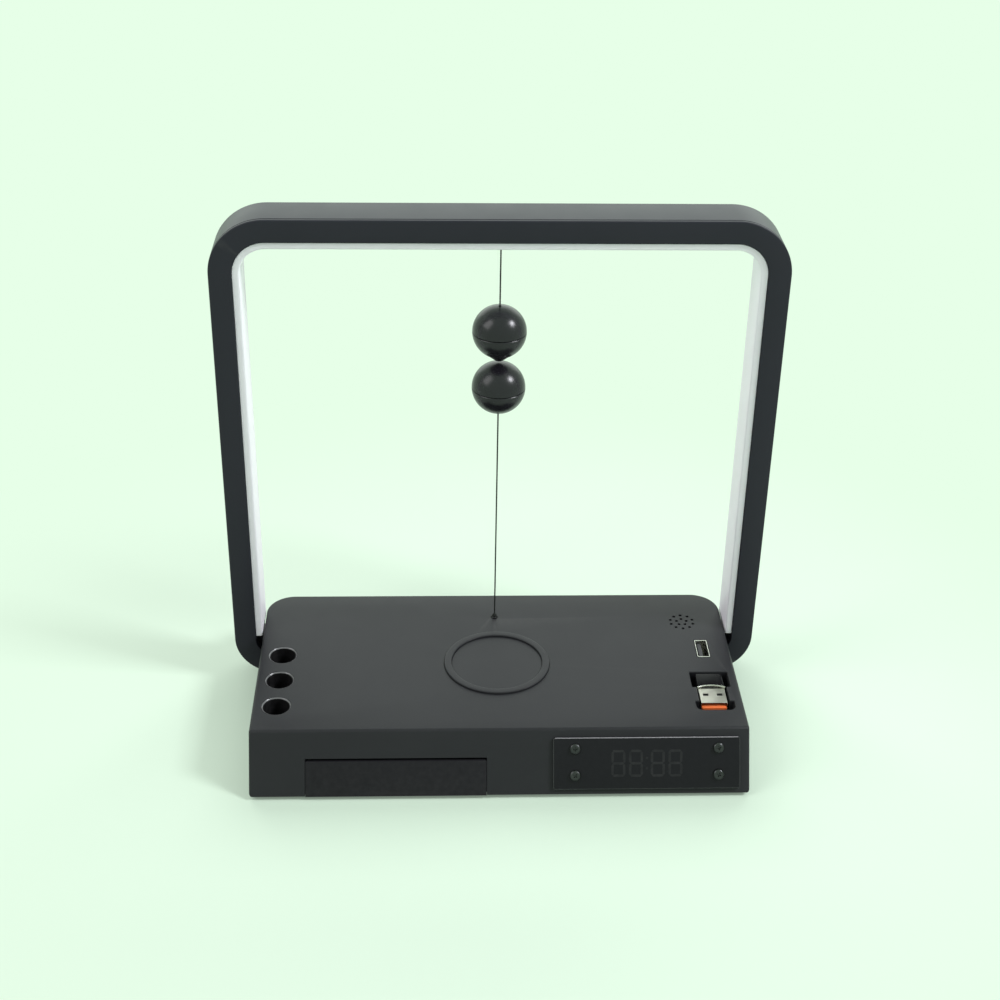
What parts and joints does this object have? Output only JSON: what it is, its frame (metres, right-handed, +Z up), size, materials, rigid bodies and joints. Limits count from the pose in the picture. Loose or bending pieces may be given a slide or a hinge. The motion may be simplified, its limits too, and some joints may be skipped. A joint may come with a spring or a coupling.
{
  "type": "magnetic pull-switch desk lamp",
  "caption": "Desk organiser lamp: a rounded light frame stands over a low sloped base, with magnetic balls on threads that meet to switch it on.",
  "frame": {"origin": "on the table surface, under the middle of the whole object's box", "axes": "+X to the right seen from the front, +Y to the back, +Z up; the sloped front with its drawer and clock faces -Y"},
  "size_m": [0.242, 0.1182, 0.2281],
  "materials": {
    "housing_plastic": "satin, dark grey",
    "cover_plastic": "fine texture",
    "foot_rubber": "matt",
    "screw_steel": "plated",
    "panel_screw_steel": "bright plated",
    "frame_plastic": "satin, near black",
    "diffuser_white": "opal",
    "led_white": "white coated strip",
    "post_white": "moulded",
    "ring_plastic": "satin",
    "copper_wire": "enamelled copper",
    "ferrite": "matt",
    "circuit_board": "green coated laminate",
    "black_plastic": "moulded",
    "plated_metal": "nickel plated",
    "tongue_grey": "moulded",
    "smoked_panel": "glossy smoked",
    "display_black": "moulded",
    "plunger_plastic": "moulded",
    "thread_cord": "twisted thread",
    "ball_plastic": "satin, near black",
    "magnet_nickel": "nickel plated",
    "drawer_plastic": "satin",
    "adapter_gloss": "glossy",
    "tongue_orange": "moulded"
  },
  "bodies": {
    "lamp": {"base_housing": "housing_plastic", "bottom_cover": "cover_plastic", "rubber_foot_1": "foot_rubber", "rubber_foot_2": "foot_rubber", "rubber_foot_3": "foot_rubber", "rubber_foot_4": "foot_rubber", "cover_screw_1": "screw_steel", "cover_screw_2": "screw_steel", "cover_screw_3": "screw_steel", "cover_screw_4": "screw_steel", "cover_screw_5": "screw_steel", "cover_screw_6": "screw_steel", "frame_screw_left": "screw_steel", "frame_screw_right": "screw_steel", "frame_channel": "frame_plastic", "frame_front_cover": "frame_plastic", "frame_diffuser": "diffuser_white", "led_strip": "led_white", "upper_thread_post": "post_white", "charging_ring": "ring_plastic", "charging_coil": "copper_wire", "coil_ferrite": "ferrite", "main_circuit_board": "circuit_board", "inlet_board": "circuit_board", "power_board": "circuit_board", "clock_board": "circuit_board", "button_board": "circuit_board", "sounder": "black_plastic", "socket_shell": "plated_metal", "socket_tongue": "tongue_grey", "power_inlet": "plated_metal", "power_inlet_tongue": "black_plastic", "clock_panel": "smoked_panel", "clock_display": "display_black", "clock_panel_screw_1": "panel_screw_steel", "clock_panel_screw_2": "panel_screw_steel", "clock_panel_screw_3": "panel_screw_steel", "clock_panel_screw_4": "panel_screw_steel", "pull_switch_body": "black_plastic"},
    "plunger": {"pull_switch_plunger": "plunger_plastic"},
    "lower_gimbal": {"lower_swivel": "thread_cord"},
    "lower_pendulum": {"lower_thread": "thread_cord", "lower_ball_top": "ball_plastic", "lower_ball_bottom": "ball_plastic", "lower_magnet": "magnet_nickel"},
    "upper_gimbal": {"upper_swivel": "thread_cord"},
    "upper_pendulum": {"upper_thread": "thread_cord", "upper_ball_top": "ball_plastic", "upper_ball_bottom": "ball_plastic", "upper_magnet": "magnet_nickel"},
    "drawer_body": {"drawer": "drawer_plastic"},
    "adapter": {"adapter_body": "adapter_gloss", "adapter_trim": "plated_metal", "adapter_plug_shell": "plated_metal", "adapter_tongue": "tongue_orange"},
    "key_up": {"button_up": "black_plastic"},
    "key_mode": {"button_mode": "black_plastic"},
    "key_down": {"button_down": "black_plastic"}
  },
  "joints": [
    {"name": "drawer_slide", "type": "slide", "parent": "lamp", "child": "drawer_body", "axis": [0, -1, 0], "range_m": [0, 0.05]},
    {"name": "adapter_lift", "type": "slide", "parent": "lamp", "child": "adapter", "axis": [0, 0, 1], "range_m": [0, 0.03]},
    {"name": "pull_switch_slide", "type": "slide", "parent": "lamp", "child": "plunger", "axis": [0, 0, 1], "range_m": [-0.001, 0], "stiffness_N_per_m": 400, "springref_m": 0.0006},
    {"name": "lower_tilt_fore", "type": "hinge", "parent": "plunger", "child": "lower_gimbal", "pos_m": [0, 0.04, 0.02795], "axis": [1, 0, 0], "range_deg": [-75, 75], "stiffness_Nm_per_rad": 0.02},
    {"name": "lower_tilt_side", "type": "hinge", "parent": "lower_gimbal", "child": "lower_pendulum", "pos_m": [0, 0.04, 0.02795], "axis": [0, 1, 0], "range_deg": [-45, 45], "stiffness_Nm_per_rad": 0.02},
    {"name": "upper_swing_fore", "type": "hinge", "parent": "lamp", "child": "upper_gimbal", "pos_m": [0, 0.04, 0.21675], "axis": [1, 0, 0], "range_deg": [-60, 60]},
    {"name": "upper_swing_side", "type": "hinge", "parent": "upper_gimbal", "child": "upper_pendulum", "pos_m": [0, 0.04, 0.21675], "axis": [0, 1, 0], "range_deg": [-45, 45]},
    {"name": "button_up_press", "type": "slide", "parent": "lamp", "child": "key_up", "axis": [0, -1, 0], "range_m": [0, 0.0005], "stiffness_N_per_m": 300, "springref_m": -0.0005},
    {"name": "button_mode_press", "type": "slide", "parent": "lamp", "child": "key_mode", "axis": [0, -1, 0], "range_m": [0, 0.0005], "stiffness_N_per_m": 300, "springref_m": -0.0005},
    {"name": "button_down_press", "type": "slide", "parent": "lamp", "child": "key_down", "axis": [0, -1, 0], "range_m": [0, 0.0005], "stiffness_N_per_m": 300, "springref_m": -0.0005}
  ]
}
